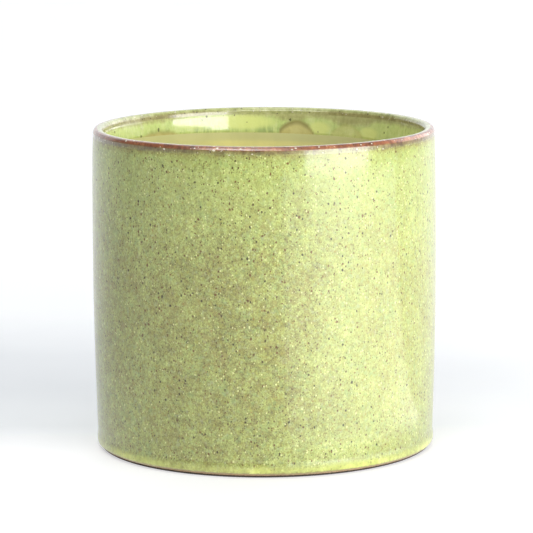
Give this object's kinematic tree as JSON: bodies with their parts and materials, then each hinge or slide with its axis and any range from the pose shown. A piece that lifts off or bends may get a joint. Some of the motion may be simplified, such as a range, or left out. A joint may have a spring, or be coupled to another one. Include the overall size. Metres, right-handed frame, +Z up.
{
  "type": "brush holder pot",
  "caption": "Straight-sided stoneware pot, open at the top, with a mottled green glaze, a thin brown break on the lip and a bare clay foot ring; holds brushes and pens upright.",
  "frame": {"origin": "centre of the foot ring, on the surface that the pot stands on", "axes": "+Z up along the pot's axis of revolution, out of its mouth; X and Y are arbitrary, with -Y towards the side shown as the front"},
  "size_m": [0.1, 0.1, 0.0932],
  "materials": {
    "bare_stoneware": "unglazed fired stoneware, fine and slightly rough",
    "speckled_green_glaze": "glossy mottled yellow-green and olive ash glaze with dark speckles",
    "iron_brown_break": "thin glossy red-brown glaze where the green runs off the lip",
    "olive_liner_glaze": "smooth satin olive to honey-yellow liner glaze"
  },
  "bodies": {
    "root": {"stoneware_body": "bare_stoneware", "outer_glaze": "speckled_green_glaze", "rim_glaze": "iron_brown_break", "inner_rim_glaze": "speckled_green_glaze", "liner_glaze": "olive_liner_glaze"}
  },
  "joints": []
}
